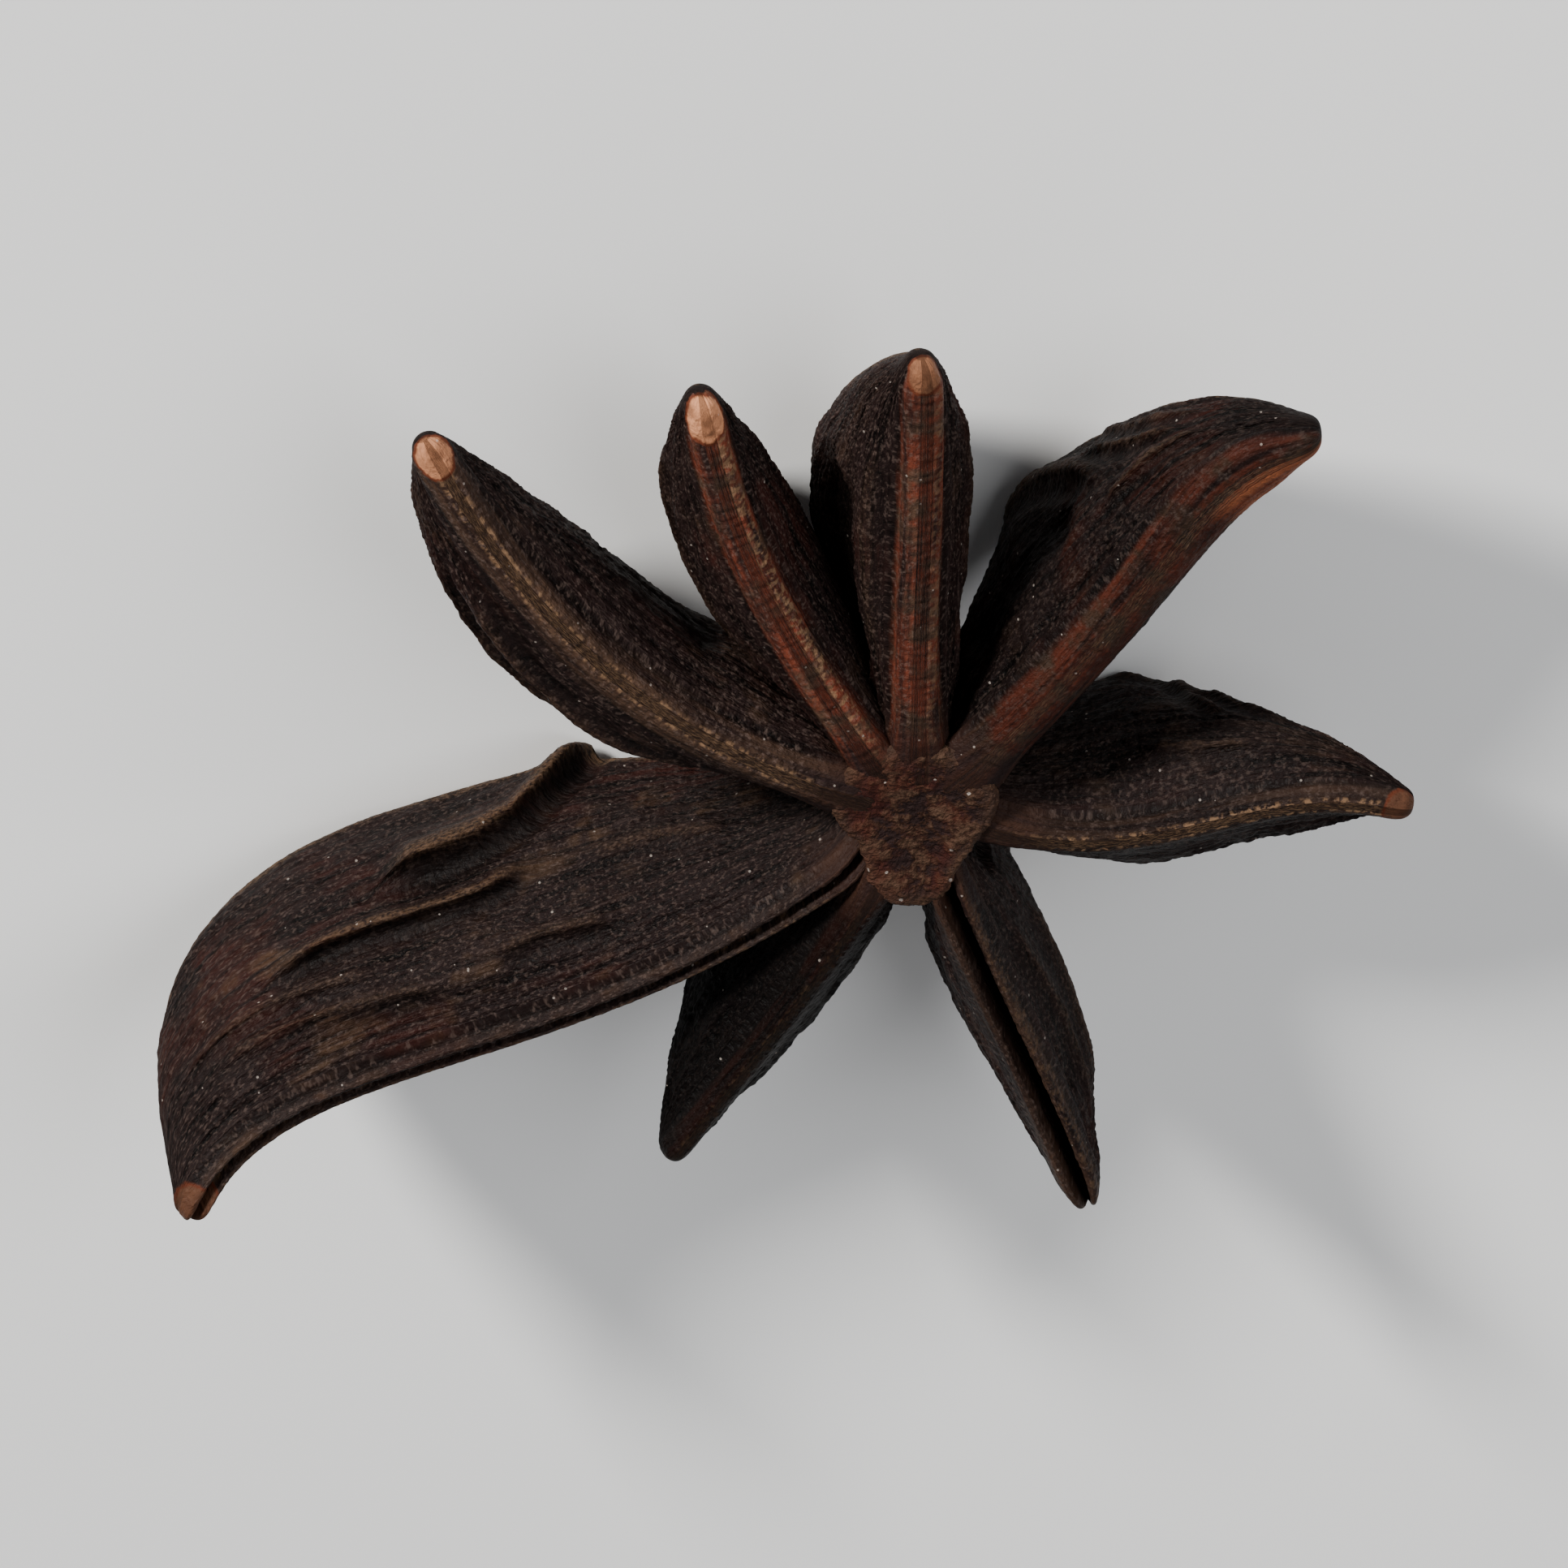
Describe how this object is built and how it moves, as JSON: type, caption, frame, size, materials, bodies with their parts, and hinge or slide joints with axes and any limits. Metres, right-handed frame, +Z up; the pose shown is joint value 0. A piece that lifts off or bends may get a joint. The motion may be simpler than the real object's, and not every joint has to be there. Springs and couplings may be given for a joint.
{
  "type": "star anise pod",
  "caption": "Dried star-shaped spice pod: boat-shaped woody carpels joined at a short central column, lying with their seams up.",
  "frame": {"origin": "centre of the flat end of the stalk stub, in the plane the pod lies on", "axes": "+Z up, the way the seams of the carpels face; +X along the short straight carpel that lies right of the column; the longest carpel points to -X and -Y"},
  "size_m": [0.0322, 0.028, 0.0094],
  "materials": {
    "dried_husk": "dry, wrinkled, faintly waxy dark brown husk"
  },
  "bodies": {
    "root": {"star_pod": "dried_husk"}
  },
  "joints": []
}
